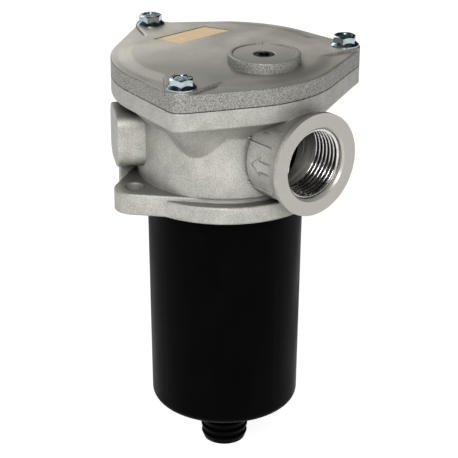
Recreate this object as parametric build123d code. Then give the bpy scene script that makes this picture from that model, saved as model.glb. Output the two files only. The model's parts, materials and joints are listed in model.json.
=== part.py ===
"""Tank-top return line filter: cast head and cover, moulded bowl, filter element and bypass valve.

Frame: the origin is the centre of the mounting flange's underside, +Z runs up the bowl's axis
and +X along the inlet port.  Lengths are millimetres and angles are degrees.
"""
from build123d import *
import math
import os

# ---- Mounting flange -------------------------------------------------------------------
FLANGE_R = 46.8          # round flange on the tank top
FLANGE_T = 8.2
EAR_T = 10.3             # the two fixing ears stand higher than the flange
EAR_CIRCLE_R = 49.5      # radius of the fixing hole circle
EAR_TIP_R = 9.6
EAR_HOLE_R = 4.5
EAR_ANGLE = -98.5        # first ear; the second is opposite
EAR_ANGLES = (EAR_ANGLE, EAR_ANGLE + 180)
CAST_EDGE_R = 0.8        # rounding of cast edges

# ---- Head body -------------------------------------------------------------------------
BODY_R = 42.0
BODY_WALL = 4.2
WAIST_DEPTH = 2.6        # groove between the flange and the body above it
CHAMBER_FLOOR_Z = 15.0   # ledge that carries the bowl's retaining ring
NECK_BORE_R = 35.6       # bore that takes the bowl's neck
BOWL_RECESS_H = 3.5      # recess in the underside for the bowl's shoulder
SPLIT_Z = 58.6           # joint face between head and cover
RIM_T = 9.0              # thickness of the head's top flange

# ---- Three-lobed outline shared by the head's top flange and the cover -----------------
RIM_R = 53.7
LOBE_TIP_R = 7.4
SCREW_CIRCLE_R = 57.0
SCREW_ANGLES = (60.0, 180.0, 300.0)
FLARE_H = 10.0           # height of the flare from the body out to the top flange
LOBE_WEB_H = 20.0        # height of the web under each lobe
LOBE_WEB_INSET = 0.7     # step between the top flange and the web under it

# ---- Ports -----------------------------------------------------------------------------
PORT_Z = 30.0
PORT_FACE_X = 63.3
PORT_BOSS_R = 21.4
PORT_RIM_R = 24.1
PORT_RIM_T = 2.4         # straight band behind the machined face
PORT_FLARE_L = 7.0       # length of the flare from the boss out to the rim
PORT_THREAD_R = 16.62    # major radius of the G 1 thread
PORT_THREAD_L = 20.0
PORT_BORE_R = 14.9       # plain bore behind the thread
PORT_CHAMFER = 0.9
FOOT_TOP_HALF = 17.0     # web under each boss: half width at the top and the bottom
FOOT_BOTTOM_HALF = 11.4
FOOT_TOP_DROP = 12.6     # top of the web below the port's axis
FOOT_END_R = 51.0
BLANK_ANGLE = 240.0      # undrilled boss for a second inlet
BLANK_HALF_W = 13.5
BLANK_LOW_Z = 16.6
BLANK_HIGH_Z = 43.4
BLANK_END_R = 53.3
BLANK_CORNER_R = 7.0
BLANK_RIB_T = 4.5        # rib under the undrilled boss
BLANK_RIB_OFFSET = 11.0  # its far side from the boss's middle
BLANK_RIB_END_R = 50.2
PARTING_RIB = 0.5        # flash ridge left along the mould joint of the port boss

# ---- Cover -----------------------------------------------------------------------------
COVER_T = 9.5            # at the screw seats and the raised middle
COVER_RIM_T = 8.1
DOME_R = 50.5            # foot of the raised middle
DOME_SHOULDER = 7.0
SEAT_WEB_R = 30.0        # the seats widen inwards to meet the raised middle along this circle
COVER_SKIN = 5.5         # metal left above the hollow underside
SPIGOT_H = 4.0           # locating ring that enters the head
SPIGOT_WALL = 4.0
SPIGOT_CLEARANCE = 0.25
BOSS_X = 25.2            # indicator boss on the cover
BOSS_Y = 1.6
BOSS_R = 16.8
BOSS_H = 4.9
BOSS_LIP_W = 2.2
BOSS_LIP_H = 0.5
BOSS_GAP_ANGLE = 136.0   # break in the lip
BOSS_GAP_W = 3.0
INDICATOR_BORE_R = 2.5   # passage from the plug's port into the head
LABEL_L = 31.8
LABEL_W = 12.5
LABEL_SLANT = 5.0        # its ends are cut on the slant
LABEL_T = 0.3
LABEL_RECESS = 0.5
LABEL_MARGIN = 0.5
LABEL_X = -29.9
LABEL_Y = 4.3
LABEL_ANGLE = 91.6

# ---- Cover screws, M6 hexagon flange screws --------------------------------------------
SCREW_R = 3.0
SCREW_L = 20.0
SCREW_HOLE_R = 3.4
SCREW_HOLE_SPARE = 2.0   # tapped hole deeper than the screw
THREAD_PLAY = 0.05
SCREW_AF = 10.0
SCREW_FLANGE_R = 6.8
SCREW_FLANGE_T = 1.1
SCREW_HEAD_H = 4.8
SCREW_TURNS = (9.4, 6.8, 19.4)  # how far each hexagon is turned
SCREW_DISH_R = 3.6
SCREW_DISH_DEPTH = 0.4

# ---- Indicator port plug, socket taper plug ---------------------------------------------
PLUG_R = 4.86
PLUG_L = 7.0
PLUG_SUNK = 0.3
PLUG_SOCKET_AF = 5.0
PLUG_SOCKET_DEPTH = 4.0
PLUG_CHAMFER = 0.6

# ---- Bowl ------------------------------------------------------------------------------
BOWL_TOP_R = 37.5
BOWL_BOTTOM_R = 36.3
BOWL_DEPTH = 112.0
BOWL_WALL = 2.6
BOWL_FLOOR_T = 3.0
BOWL_EDGE_R = 4.3
BOWL_CLEARANCE = 0.15    # neck and shoulder inside the head
NECK_INNER_R = 31.8
NECK_TOP_SPARE = 3.0     # neck above its retaining ring
NIPPLE_R = 12.0          # tube inside the bowl that the element slides over
NIPPLE_SHOULDER_R = 15.0
NIPPLE_SHOULDER_H = 5.0
NIPPLE_H = 13.0
OUTLET_BORE_R = 8.6
SPIGOT_R = 11.3          # outlet hose connector
SPIGOT_L = 25.8
BARB_COUNT = 3
BARB_PITCH = 4.1
BARB_HEIGHT = 1.1
BARB_STEP = 0.3          # each barb is this much smaller than the one above
RETAINER_T = 1.6
RETAINER_WIDTH = 2.4
RETAINER_GRIP = 1.2      # depth of its groove in the neck
RETAINER_GAP = 34.0      # opening of the ring, degrees

# ---- Seals (drawn squeezed to their fitted section) --------------------------------------
COVER_SEAL_R = 42.5
COVER_SEAL_W = 3.4
COVER_SEAL_H = 2.6
BOWL_SEAL_Z = 8.5
BOWL_SEAL_W = 2.8
BOWL_SEAL_DEPTH = 2.0
ELEMENT_SEAL_W = 2.6
ELEMENT_SEAL_DEPTH = 1.9
GROOVE_SIDE_PLAY = 0.2
FIT_PLAY = 0.1           # radial play of pieces that only locate each other

# ---- Filter element ----------------------------------------------------------------------
CAP_R = 28.8
CAP_T = 4.0
CAP_RIM_T = 1.0
CAP_RIM_H = 5.0
ELEMENT_TOP_Z = 12.0
PLEAT_COUNT = 36
PLEAT_R = 27.4
PLEAT_T = 0.9
CORE_R = 17.0
CORE_WALL = 1.5
CORE_COLUMNS = 6
CORE_ROWS = 7
CORE_WINDOW_W = 8.0
CORE_WINDOW_H = 9.0

# ---- Bypass valve in the top cap -----------------------------------------------------------
VALVE_FLANGE_R = 15.0
VALVE_FLANGE_T = 1.6
VALVE_BODY_R = 12.6
VALVE_BODY_H = 9.0
VALVE_PORT_R = 9.0
HUB_R = 5.4
HUB_H = 8.0
SPOKE_W = 2.4
STEM_R = 1.5
STEM_CLEARANCE = 0.05
STEM_TOP_Z = 34.0
POPPET_R = 10.6
POPPET_T = 2.0
VALVE_SPRING_R = 4.4
VALVE_SPRING_WIRE_R = 0.5
VALVE_SPRING_TURNS = 5.0
VALVE_RETAINER_R = 5.6
VALVE_RETAINER_T = 1.4

# ---- Hold-down spring between cover and element --------------------------------------------
HOLD_SPRING_R = 21.0
HOLD_SPRING_WIRE_R = 1.3
HOLD_SPRING_TURNS = 5.0
SPRING_GUIDE_W = 2.0
SPRING_GUIDE_H = 3.0

# ---- Derived places ------------------------------------------------------------------------
CHAMBER_R = BODY_R - BODY_WALL
SEAT_Z = SPLIT_Z + COVER_T
COVER_RIM_Z = SPLIT_Z + COVER_RIM_T
COVER_CEILING_Z = SEAT_Z - COVER_SKIN
RIM_LOW_Z = SPLIT_Z - RIM_T
NECK_R = NECK_BORE_R - BOWL_CLEARANCE
RETAINER_INNER_R = NECK_R - RETAINER_GRIP
NECK_TOP_Z = CHAMBER_FLOOR_Z + RETAINER_T + NECK_TOP_SPARE
BOWL_FLOOR_Z = BOWL_FLOOR_T - BOWL_DEPTH
NIPPLE_SHOULDER_Z = BOWL_FLOOR_Z + NIPPLE_SHOULDER_H
BOTTOM_CAP_TOP_Z = NIPPLE_SHOULDER_Z + CAP_T
TOP_CAP_LOW_Z = ELEMENT_TOP_Z - CAP_T
SEAT_FACE_Z = ELEMENT_TOP_Z - VALVE_BODY_H
BOSS_TOP_Z = SEAT_Z + BOSS_H
PLUG_TOP_Z = BOSS_TOP_Z - BOSS_LIP_H - PLUG_SUNK


# ---- Helpers -------------------------------------------------------------------------------
def polar(radius, angle, z=0.0):
    """Point at a radius and an angle about the Z axis."""
    turn = math.radians(angle)
    return Vector(radius * math.cos(turn), radius * math.sin(turn), z)


def revolved(*points):
    """Solid of revolution about Z from (radius, height) corners."""
    return revolve(Plane.XZ * make_face(Polyline(*points, close=True)), Axis.Z)


def tube(outer_r, inner_r, low_z, high_z):
    """Plain ring between two heights."""
    return Pos(0, 0, low_z) * extrude(Circle(outer_r) - Circle(inner_r), high_z - low_z)


def rod(radius, low_z, high_z):
    """Plain cylinder between two heights."""
    return Pos(0, 0, low_z) * extrude(Circle(radius), high_z - low_z)


def lobed(main_r, tip_r, tip_circle_r, angles):
    """Round outline with a rounded tip at each angle, joined by common tangents."""
    outline = Circle(main_r)
    spread = math.degrees(math.acos(min(1.0, (main_r - tip_r) / tip_circle_r)))
    for angle in angles:
        centre = polar(tip_circle_r, angle)
        before, after = angle - spread, angle + spread
        flank = Polygon(
            polar(main_r, before),
            centre + polar(tip_r, before),
            centre + polar(tip_r, after),
            polar(main_r, after),
            align=None,
        )
        outline += flank
        outline += Pos(centre) * Circle(tip_r)
    return outline


def round_edges(solid, level, radius):
    """Round the edges of a plate's top (level 1) or bottom (level 0) face."""
    edges = solid.edges().group_by(Axis.Z)[-1 if level else 0]
    return fillet(edges, radius)


def spring(mean_r, wire_r, turns, low_z, high_z):
    """Helical compression spring with its outer faces at the two heights."""
    height = high_z - low_z - 2 * wire_r
    path = Helix(pitch=height / turns, height=height, radius=mean_r)
    section = Plane(origin=path @ 0, z_dir=path % 0) * Circle(wire_r)
    return Pos(0, 0, low_z + wire_r) * sweep(section, path, is_frenet=True)


# ---- Head ----------------------------------------------------------------------------------
def boss_web(half_top, half_bottom, top_z, end_r):
    """Draughted web that carries a side boss down to the ears' level, along +X."""
    section = Polygon(
        (-half_top, top_z),
        (half_top, top_z),
        (half_bottom, EAR_T),
        (-half_bottom, EAR_T),
        align=None,
    )
    start_r = BODY_R - BODY_WALL / 2
    return Pos(start_r, 0, 0) * extrude(Plane.YZ * section, end_r - start_r)


def inlet_boss():
    """Round boss with a flared rim round the machined inlet face, along +X."""
    start_r = BODY_R - BODY_WALL / 2
    rim_x = PORT_FACE_X - PORT_RIM_T
    flare_x = rim_x - PORT_FLARE_L
    flare = (PORT_RIM_R - PORT_BOSS_R) * 0.25 + PORT_BOSS_R
    profile = (
        Line((start_r, 0), (start_r, PORT_BOSS_R)),
        Line((start_r, PORT_BOSS_R), (flare_x, PORT_BOSS_R)),
        ThreePointArc(
            (flare_x, PORT_BOSS_R),
            ((flare_x + rim_x) / 2, flare),
            (rim_x, PORT_RIM_R),
        ),
        Line((rim_x, PORT_RIM_R), (PORT_FACE_X, PORT_RIM_R)),
        Line((PORT_FACE_X, PORT_RIM_R), (PORT_FACE_X, 0)),
        Line((PORT_FACE_X, 0), (start_r, 0)),
    )
    boss = revolve(Plane.XY * make_face(Curve() + profile), Axis.X)
    return Pos(0, 0, PORT_Z) * boss


def parting_ridges():
    """Low flash ridges along both sides of the inlet boss, at the top of its web."""
    start_r = BODY_R - BODY_WALL / 2
    length = PORT_FACE_X - PORT_RIM_T - PORT_FLARE_L - start_r
    ridges = Part()
    for drop in (FOOT_TOP_DROP, -FOOT_TOP_DROP * 0.75):
        half = math.sqrt(PORT_BOSS_R**2 - drop**2)
        for side in (-1, 1):
            ridge = Box(
                length, 2 * PARTING_RIB, 2 * PARTING_RIB,
                align=(Align.MIN, Align.CENTER, Align.CENTER),
            )
            ridges += Pos(start_r, side * half, PORT_Z - drop) * ridge
    return ridges


def blank_boss():
    """Undrilled boss with rounded corners, along +X before it is turned to its angle."""
    width = 2 * BLANK_HALF_W
    height = BLANK_HIGH_Z - BLANK_LOW_Z
    start_r = BODY_R - BODY_WALL / 2
    outline = RectangleRounded(width, height, BLANK_CORNER_R)
    boss = extrude(Plane.YZ * outline, BLANK_END_R - start_r)
    boss = fillet(boss.edges().group_by(Axis.X)[-1], CAST_EDGE_R)
    return Pos(start_r, 0, (BLANK_LOW_Z + BLANK_HIGH_Z) / 2) * boss


def blank_rib():
    """Rib from the mounting flange up to the undrilled boss, along +X."""
    start_r = BODY_R - BODY_WALL / 2
    rib = Box(
        BLANK_RIB_END_R - start_r, BLANK_RIB_T, BLANK_LOW_Z + BLANK_CORNER_R,
        align=(Align.MIN, Align.MIN, Align.MIN),
    )
    rib = fillet(rib.edges().filter_by(Axis.Z).group_by(Axis.X)[-1], CAST_EDGE_R)
    return Pos(start_r, -BLANK_RIB_OFFSET, 0) * rib


def body_shell():
    """Round body with its waist and the flare under the top flange."""
    flare_r = RIM_R - LOBE_WEB_INSET
    low_z = RIM_LOW_Z - FLARE_H
    mid = ((BODY_R + flare_r) / 2 - 0.12 * (flare_r - BODY_R), (low_z + RIM_LOW_Z) / 2)
    waist_r = BODY_R - WAIST_DEPTH
    profile = (
        Line((0, 0), (waist_r, 0)),
        Line((waist_r, 0), (waist_r, EAR_T)),
        Line((waist_r, EAR_T), (BODY_R, EAR_T)),
        Line((BODY_R, EAR_T), (BODY_R, low_z)),
        ThreePointArc((BODY_R, low_z), mid, (flare_r, RIM_LOW_Z)),
        Line((flare_r, RIM_LOW_Z), (0, RIM_LOW_Z)),
        Line((0, RIM_LOW_Z), (0, 0)),
    )
    return revolve(Plane.XZ * make_face(Curve() + profile), Axis.Z)


def lobe_webs():
    """Tapering webs that carry the three screw lobes."""
    inner_r = BODY_R - BODY_WALL / 2
    tip_r = LOBE_TIP_R - LOBE_WEB_INSET
    top = lobed(inner_r, tip_r, SCREW_CIRCLE_R, SCREW_ANGLES)
    low = lobed(inner_r, tip_r, inner_r - tip_r + 2.0, SCREW_ANGLES)
    return loft([Pos(0, 0, RIM_LOW_Z - LOBE_WEB_H) * low, Pos(0, 0, RIM_LOW_Z) * top], ruled=True)


def make_head():
    """Cast head: flange, ears, body, ports and top flange, with all its machining."""
    ears = extrude(lobed(BODY_R - 0.5, EAR_TIP_R, EAR_CIRCLE_R, EAR_ANGLES), EAR_T)
    ears = round_edges(ears, 1, CAST_EDGE_R)
    flange = round_edges(extrude(Circle(FLANGE_R), FLANGE_T), 1, CAST_EDGE_R)
    rim = extrude(lobed(RIM_R, LOBE_TIP_R, SCREW_CIRCLE_R, SCREW_ANGLES), RIM_T)
    rim = Pos(0, 0, RIM_LOW_Z) * round_edges(rim, 0, CAST_EDGE_R)
    head = body_shell() + lobe_webs() + rim + flange + ears
    head += boss_web(FOOT_TOP_HALF, FOOT_BOTTOM_HALF, PORT_Z - FOOT_TOP_DROP, FOOT_END_R)
    head += inlet_boss() + parting_ridges()
    head += Rot(0, 0, BLANK_ANGLE) * (blank_boss() + blank_rib())

    head -= rod(CHAMBER_R, CHAMBER_FLOOR_Z, SPLIT_Z)
    head -= rod(NECK_BORE_R, 0, CHAMBER_FLOOR_Z)
    head -= rod(BOWL_TOP_R + BOWL_CLEARANCE, 0, BOWL_RECESS_H)
    head -= tube(
        COVER_SEAL_R + COVER_SEAL_W / 2 + GROOVE_SIDE_PLAY,
        COVER_SEAL_R - COVER_SEAL_W / 2 - GROOVE_SIDE_PLAY,
        SPLIT_Z - COVER_SEAL_H,
        SPLIT_Z,
    )
    bore_l = PORT_FACE_X - CHAMBER_R / 2
    bore = rod(PORT_BORE_R, -bore_l, 0)
    bore += rod(PORT_THREAD_R, -PORT_THREAD_L, 0)
    bore += revolved(
        (0, -PORT_CHAMFER),
        (PORT_THREAD_R, -PORT_CHAMFER),
        (PORT_THREAD_R + PORT_CHAMFER, 0),
        (0, 0),
    )
    head -= Pos(PORT_FACE_X, 0, PORT_Z) * Rot(0, 90, 0) * bore
    for angle in EAR_ANGLES:
        head -= Pos(polar(EAR_CIRCLE_R, angle)) * rod(EAR_HOLE_R, 0, EAR_T)
    depth = SCREW_L - COVER_T + SCREW_HOLE_SPARE
    for angle in SCREW_ANGLES:
        head -= Pos(polar(SCREW_CIRCLE_R, angle, SPLIT_Z)) * rod(SCREW_R + THREAD_PLAY, -depth, 0)
    return head


# ---- Cover ---------------------------------------------------------------------------------
def label_place(z):
    """Place of the label's centre on the cover, at a height."""
    return Pos(LABEL_X, LABEL_Y, z) * Rot(0, 0, LABEL_ANGLE)


def indicator_boss():
    """Round boss with a raised lip that is broken at one place."""
    boss = rod(BOSS_R, COVER_RIM_Z, BOSS_TOP_Z)
    boss = round_edges(boss, 1, BOSS_LIP_H)
    inner_r = BOSS_R - BOSS_LIP_W
    boss -= rod(inner_r, BOSS_TOP_Z - BOSS_LIP_H, BOSS_TOP_Z)
    gap = Box(
        2 * BOSS_LIP_W, BOSS_GAP_W, BOSS_LIP_H,
        align=(Align.MIN, Align.CENTER, Align.MAX),
    )
    boss -= Rot(0, 0, BOSS_GAP_ANGLE) * Pos(inner_r - BOSS_LIP_H, 0, BOSS_TOP_Z) * gap
    return Pos(BOSS_X, BOSS_Y, 0) * boss


def label_outline(margin=0.0):
    """Label's outline with slanted ends, widened by a margin."""
    half_l, half_w, slant = LABEL_L / 2 + margin, LABEL_W / 2 + margin, LABEL_SLANT / 2
    return Polygon(
        (-half_l - slant, half_w),
        (-half_l + slant, -half_w),
        (half_l + slant, -half_w),
        (half_l - slant, half_w),
        align=None,
    )


def cover_plate():
    """Lobed plate with its raised middle and the three screw seats."""
    rim = extrude(lobed(RIM_R, LOBE_TIP_R, SCREW_CIRCLE_R, SCREW_ANGLES), COVER_RIM_T)
    seats = extrude(lobed(SEAT_WEB_R, LOBE_TIP_R, SCREW_CIRCLE_R, SCREW_ANGLES), COVER_T)
    plate = round_edges(rim, 1, CAST_EDGE_R) + round_edges(seats, 1, CAST_EDGE_R)
    inner_r = DOME_R - DOME_SHOULDER
    dome_profile = (
        Line((0, SPLIT_Z), (DOME_R, SPLIT_Z)),
        Line((DOME_R, SPLIT_Z), (DOME_R, COVER_RIM_Z)),
        Spline(
            (DOME_R, COVER_RIM_Z),
            (DOME_R - DOME_SHOULDER / 2, (COVER_RIM_Z + SEAT_Z) / 2),
            (inner_r, SEAT_Z),
            tangents=((-1, 0), (-1, 0)),
        ),
        Line((inner_r, SEAT_Z), (0, SEAT_Z)),
        Line((0, SEAT_Z), (0, SPLIT_Z)),
    )
    dome = revolve(Plane.XZ * make_face(Curve() + dome_profile), Axis.Z)
    return Pos(0, 0, SPLIT_Z) * plate + dome


def make_cover():
    """Cast cover with a raised middle, an indicator boss and a locating ring below."""
    cover = cover_plate() + indicator_boss()
    ring_r = CHAMBER_R - SPIGOT_CLEARANCE
    cover += tube(ring_r, ring_r - SPIGOT_WALL, SPLIT_Z - SPIGOT_H, SPLIT_Z)
    cover -= rod(ring_r - SPIGOT_WALL, SPLIT_Z - SPIGOT_H, COVER_CEILING_Z)
    guide_r = HOLD_SPRING_R - HOLD_SPRING_WIRE_R - FIT_PLAY
    guide_z = COVER_CEILING_Z - SPRING_GUIDE_H
    cover += tube(guide_r, guide_r - SPRING_GUIDE_W, guide_z, COVER_CEILING_Z)
    for angle in SCREW_ANGLES:
        cover -= Pos(polar(SCREW_CIRCLE_R, angle, SPLIT_Z)) * rod(SCREW_HOLE_R, 0, COVER_T)
    pocket = extrude(label_outline(LABEL_MARGIN), LABEL_RECESS)
    cover -= label_place(SEAT_Z - LABEL_RECESS) * pocket
    port_low = PLUG_TOP_Z - PLUG_L
    cover -= Pos(BOSS_X, BOSS_Y, 0) * rod(INDICATOR_BORE_R, COVER_CEILING_Z, port_low)
    cover -= Pos(BOSS_X, BOSS_Y, port_low) * rod(PLUG_R, 0, PLUG_L + PLUG_SUNK)
    cover -= Pos(BOSS_X, BOSS_Y, PLUG_TOP_Z) * revolved(
        (0, 0), (PLUG_R, 0), (PLUG_R + PLUG_SUNK, PLUG_SUNK), (0, PLUG_SUNK)
    )
    return cover


def make_label():
    """Blank rating label in its pocket."""
    return label_place(SEAT_Z - LABEL_RECESS) * extrude(label_outline(), LABEL_T)


def make_cover_screw(angle, turn):
    """M6 hexagon flange screw, seated on the cover with its hexagon turned by an angle."""
    hexagon = extrude(RegularPolygon(SCREW_AF / 2, 6, major_radius=False), SCREW_HEAD_H)
    crown_r = SCREW_AF / math.sqrt(3)
    crown = revolved(
        (0, 0),
        (crown_r, 0),
        (crown_r, SCREW_HEAD_H - 0.6),
        (SCREW_AF / 2 - 0.2, SCREW_HEAD_H),
        (0, SCREW_HEAD_H),
    )
    collar = revolved(
        (0, 0),
        (SCREW_FLANGE_R, 0),
        (SCREW_FLANGE_R, SCREW_FLANGE_T / 2),
        (SCREW_AF / 2, 2 * SCREW_FLANGE_T),
        (0, 2 * SCREW_FLANGE_T),
    )
    screw = (hexagon & crown) + collar
    screw -= rod(SCREW_DISH_R, SCREW_HEAD_H - SCREW_DISH_DEPTH, SCREW_HEAD_H)
    screw += rod(SCREW_R, -SCREW_L, 0)
    return Pos(polar(SCREW_CIRCLE_R, angle, SEAT_Z)) * Rot(0, 0, turn) * screw


def make_plug():
    """Socket plug that closes the indicator port."""
    plug = revolved(
        (0, -PLUG_L),
        (PLUG_R - PLUG_CHAMFER, -PLUG_L),
        (PLUG_R, PLUG_CHAMFER - PLUG_L),
        (PLUG_R, 0),
        (0, 0),
    )
    socket = extrude(RegularPolygon(PLUG_SOCKET_AF / 2, 6, major_radius=False), -PLUG_SOCKET_DEPTH)
    return Pos(BOSS_X, BOSS_Y, PLUG_TOP_Z) * (plug - socket)


# ---- Bowl ----------------------------------------------------------------------------------
def barbed_profile():
    """Outer corners of the hose connector, from its end up to the bowl."""
    end_z = -BOWL_DEPTH - SPIGOT_L
    corners = []
    for step in range(BARB_COUNT):
        low_z = end_z + step * BARB_PITCH
        root_r = SPIGOT_R - (BARB_COUNT - step) * BARB_STEP
        corners.append((root_r, low_z))
        corners.append((root_r + BARB_HEIGHT, low_z + 0.7 * BARB_PITCH))
        corners.append((root_r + BARB_HEIGHT, low_z + 0.85 * BARB_PITCH))
        corners.append((root_r, low_z + BARB_PITCH))
    return corners


def make_bowl():
    """Moulded bowl: neck, tapered wall and a floor with the hole for the hose connector."""
    shoulder_z = BOWL_RECESS_H
    slope = (BOWL_TOP_R - BOWL_BOTTOM_R) / BOWL_DEPTH
    low = -BOWL_DEPTH
    inner_low_r = BOWL_BOTTOM_R - BOWL_WALL
    hole_r = SPIGOT_R + FIT_PLAY
    bowl = revolved(
        (hole_r, low),
        (BOWL_BOTTOM_R, low),
        (BOWL_TOP_R, 0),
        (BOWL_TOP_R, shoulder_z),
        (NECK_R, shoulder_z),
        (NECK_R, NECK_TOP_Z),
        (NECK_INNER_R, NECK_TOP_Z),
        (NECK_INNER_R, 0),
        (BOWL_TOP_R - BOWL_WALL - slope * BOWL_WALL, -2 * BOWL_WALL),
        (inner_low_r, BOWL_FLOOR_Z + BOWL_FLOOR_T),
        (inner_low_r - BOWL_FLOOR_T, BOWL_FLOOR_Z),
        (hole_r, BOWL_FLOOR_Z),
    )
    corner = [
        edge
        for edge in bowl.edges().filter_by(GeomType.CIRCLE)
        if abs(edge.radius - BOWL_BOTTOM_R) < 1e-3 and abs(edge.center().Z - low) < 1e-3
    ]
    bowl = fillet(corner, BOWL_EDGE_R)
    bowl -= seal_groove(NECK_R, BOWL_SEAL_Z, BOWL_SEAL_W, BOWL_SEAL_DEPTH, -1)
    bowl -= tube(NECK_R + 1, RETAINER_INNER_R, CHAMBER_FLOOR_Z, CHAMBER_FLOOR_Z + RETAINER_T)
    return bowl


def make_hose_connector():
    """Barbed outlet bonded into the bowl's floor, with the nipple that carries the element."""
    low = -BOWL_DEPTH - SPIGOT_L
    return revolved(
        (OUTLET_BORE_R, low),
        *barbed_profile(),
        (SPIGOT_R, low + BARB_COUNT * BARB_PITCH),
        (SPIGOT_R, BOWL_FLOOR_Z),
        (NIPPLE_SHOULDER_R, BOWL_FLOOR_Z),
        (NIPPLE_SHOULDER_R, NIPPLE_SHOULDER_Z),
        (NIPPLE_R, NIPPLE_SHOULDER_Z),
        (NIPPLE_R, BOWL_FLOOR_Z + NIPPLE_H),
        (OUTLET_BORE_R, BOWL_FLOOR_Z + NIPPLE_H),
    )


def make_bowl_retainer():
    """Spring steel ring in the neck's groove, resting on the head's inner ledge."""
    ring = tube(
        RETAINER_INNER_R + RETAINER_WIDTH,
        RETAINER_INNER_R,
        CHAMBER_FLOOR_Z,
        CHAMBER_FLOOR_Z + RETAINER_T,
    )
    reach = 2 * BODY_R
    half = math.radians(RETAINER_GAP / 2)
    wedge = Polygon((0, 0), (-reach, reach * math.tan(half)), (-reach, -reach * math.tan(half)), align=None)
    return ring - Pos(0, 0, CHAMBER_FLOOR_Z) * extrude(wedge, RETAINER_T)


# ---- Seals ---------------------------------------------------------------------------------
def seal_groove(wall_r, z, width, depth, side):
    """Ring of space for a groove cut into a wall; side -1 cuts inwards and 1 outwards."""
    floor_r = wall_r + side * depth
    outer, inner = max(wall_r, floor_r), min(wall_r, floor_r)
    half = width / 2 + GROOVE_SIDE_PLAY
    return tube(outer + (1 if side < 0 else 0), inner - (1 if side > 0 else 0), z - half, z + half)


def seal_ring(outer_r, inner_r, low_z, high_z):
    """O-ring squeezed between its walls, with rounded flanks."""
    ring = tube(outer_r, inner_r, low_z, high_z)
    corner = 0.35 * min(outer_r - inner_r, high_z - low_z)
    return fillet(ring.edges().filter_by(GeomType.CIRCLE), corner)


def make_cover_seal():
    """O-ring in the head's top face, against the cover."""
    half = COVER_SEAL_W / 2
    return seal_ring(COVER_SEAL_R + half, COVER_SEAL_R - half, SPLIT_Z - COVER_SEAL_H, SPLIT_Z)


def make_bowl_seal():
    """O-ring in the bowl's neck, against the head's bore."""
    half = BOWL_SEAL_W / 2
    return seal_ring(NECK_BORE_R, NECK_R - BOWL_SEAL_DEPTH, BOWL_SEAL_Z - half, BOWL_SEAL_Z + half)


def make_element_seal():
    """O-ring in the bottom cap, against the bowl's nipple."""
    half = ELEMENT_SEAL_W / 2
    z = BOTTOM_CAP_TOP_Z
    return seal_ring(NIPPLE_R + ELEMENT_SEAL_DEPTH, NIPPLE_R, z - half, z + half)


# ---- Filter element ------------------------------------------------------------------------
def pleat_face():
    """Zigzag band of folded medium."""
    inner_r = CORE_R + PLEAT_T
    outer, inner = [], []
    for fold in range(2 * PLEAT_COUNT):
        angle = fold * 180 / PLEAT_COUNT
        crest = fold % 2 == 0
        outer.append(polar(PLEAT_R if crest else inner_r, angle))
        inner.append(polar(PLEAT_R - PLEAT_T * 2 if crest else inner_r - PLEAT_T, angle))
    return make_face(Polyline(*outer, close=True)) - make_face(Polyline(*inner, close=True))


def make_pleats():
    """Pleated medium between the two end caps."""
    height = TOP_CAP_LOW_Z - BOTTOM_CAP_TOP_Z
    return Pos(0, 0, BOTTOM_CAP_TOP_Z) * extrude(pleat_face(), height)


def make_core():
    """Moulded core tube with rows of windows."""
    core = tube(CORE_R, CORE_R - CORE_WALL, BOTTOM_CAP_TOP_Z, TOP_CAP_LOW_Z)
    height = TOP_CAP_LOW_Z - BOTTOM_CAP_TOP_Z
    pitch = height / (CORE_ROWS + 0.5)
    window = Box(2 * CORE_R, CORE_WINDOW_W, CORE_WINDOW_H, align=(Align.MIN, Align.CENTER, Align.CENTER))
    for row in range(CORE_ROWS):
        z = BOTTOM_CAP_TOP_Z + (row + 0.75) * pitch
        for column in range(CORE_COLUMNS):
            core -= Rot(0, 0, column * 360 / CORE_COLUMNS) * Pos(0, 0, z) * window
    return core


def make_bottom_cap():
    """Bottom end cap on the nipple's shoulder, with a collar that holds its seal."""
    low, high = NIPPLE_SHOULDER_Z, BOTTOM_CAP_TOP_Z
    bore_r = NIPPLE_R + FIT_PLAY
    collar_r = CORE_R - CORE_WALL - FIT_PLAY
    collar_z = high + ELEMENT_SEAL_W / 2 + GROOVE_SIDE_PLAY + CAP_RIM_T
    cap = revolved(
        (bore_r, low),
        (CAP_R, low),
        (CAP_R, high + CAP_RIM_H),
        (CAP_R - CAP_RIM_T, high + CAP_RIM_H),
        (CAP_R - CAP_RIM_T, high),
        (collar_r, high),
        (collar_r, collar_z),
        (bore_r, collar_z),
    )
    return cap - seal_groove(bore_r, high, ELEMENT_SEAL_W, ELEMENT_SEAL_DEPTH - FIT_PLAY, 1)


def make_top_cap():
    """Top end cap with a rim round the pleats and a hole for the valve."""
    low, high = TOP_CAP_LOW_Z, ELEMENT_TOP_Z
    return revolved(
        (VALVE_BODY_R, low),
        (CAP_R - CAP_RIM_T, low),
        (CAP_R - CAP_RIM_T, low - CAP_RIM_H),
        (CAP_R, low - CAP_RIM_H),
        (CAP_R, high),
        (VALVE_BODY_R, high),
    )


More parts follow.
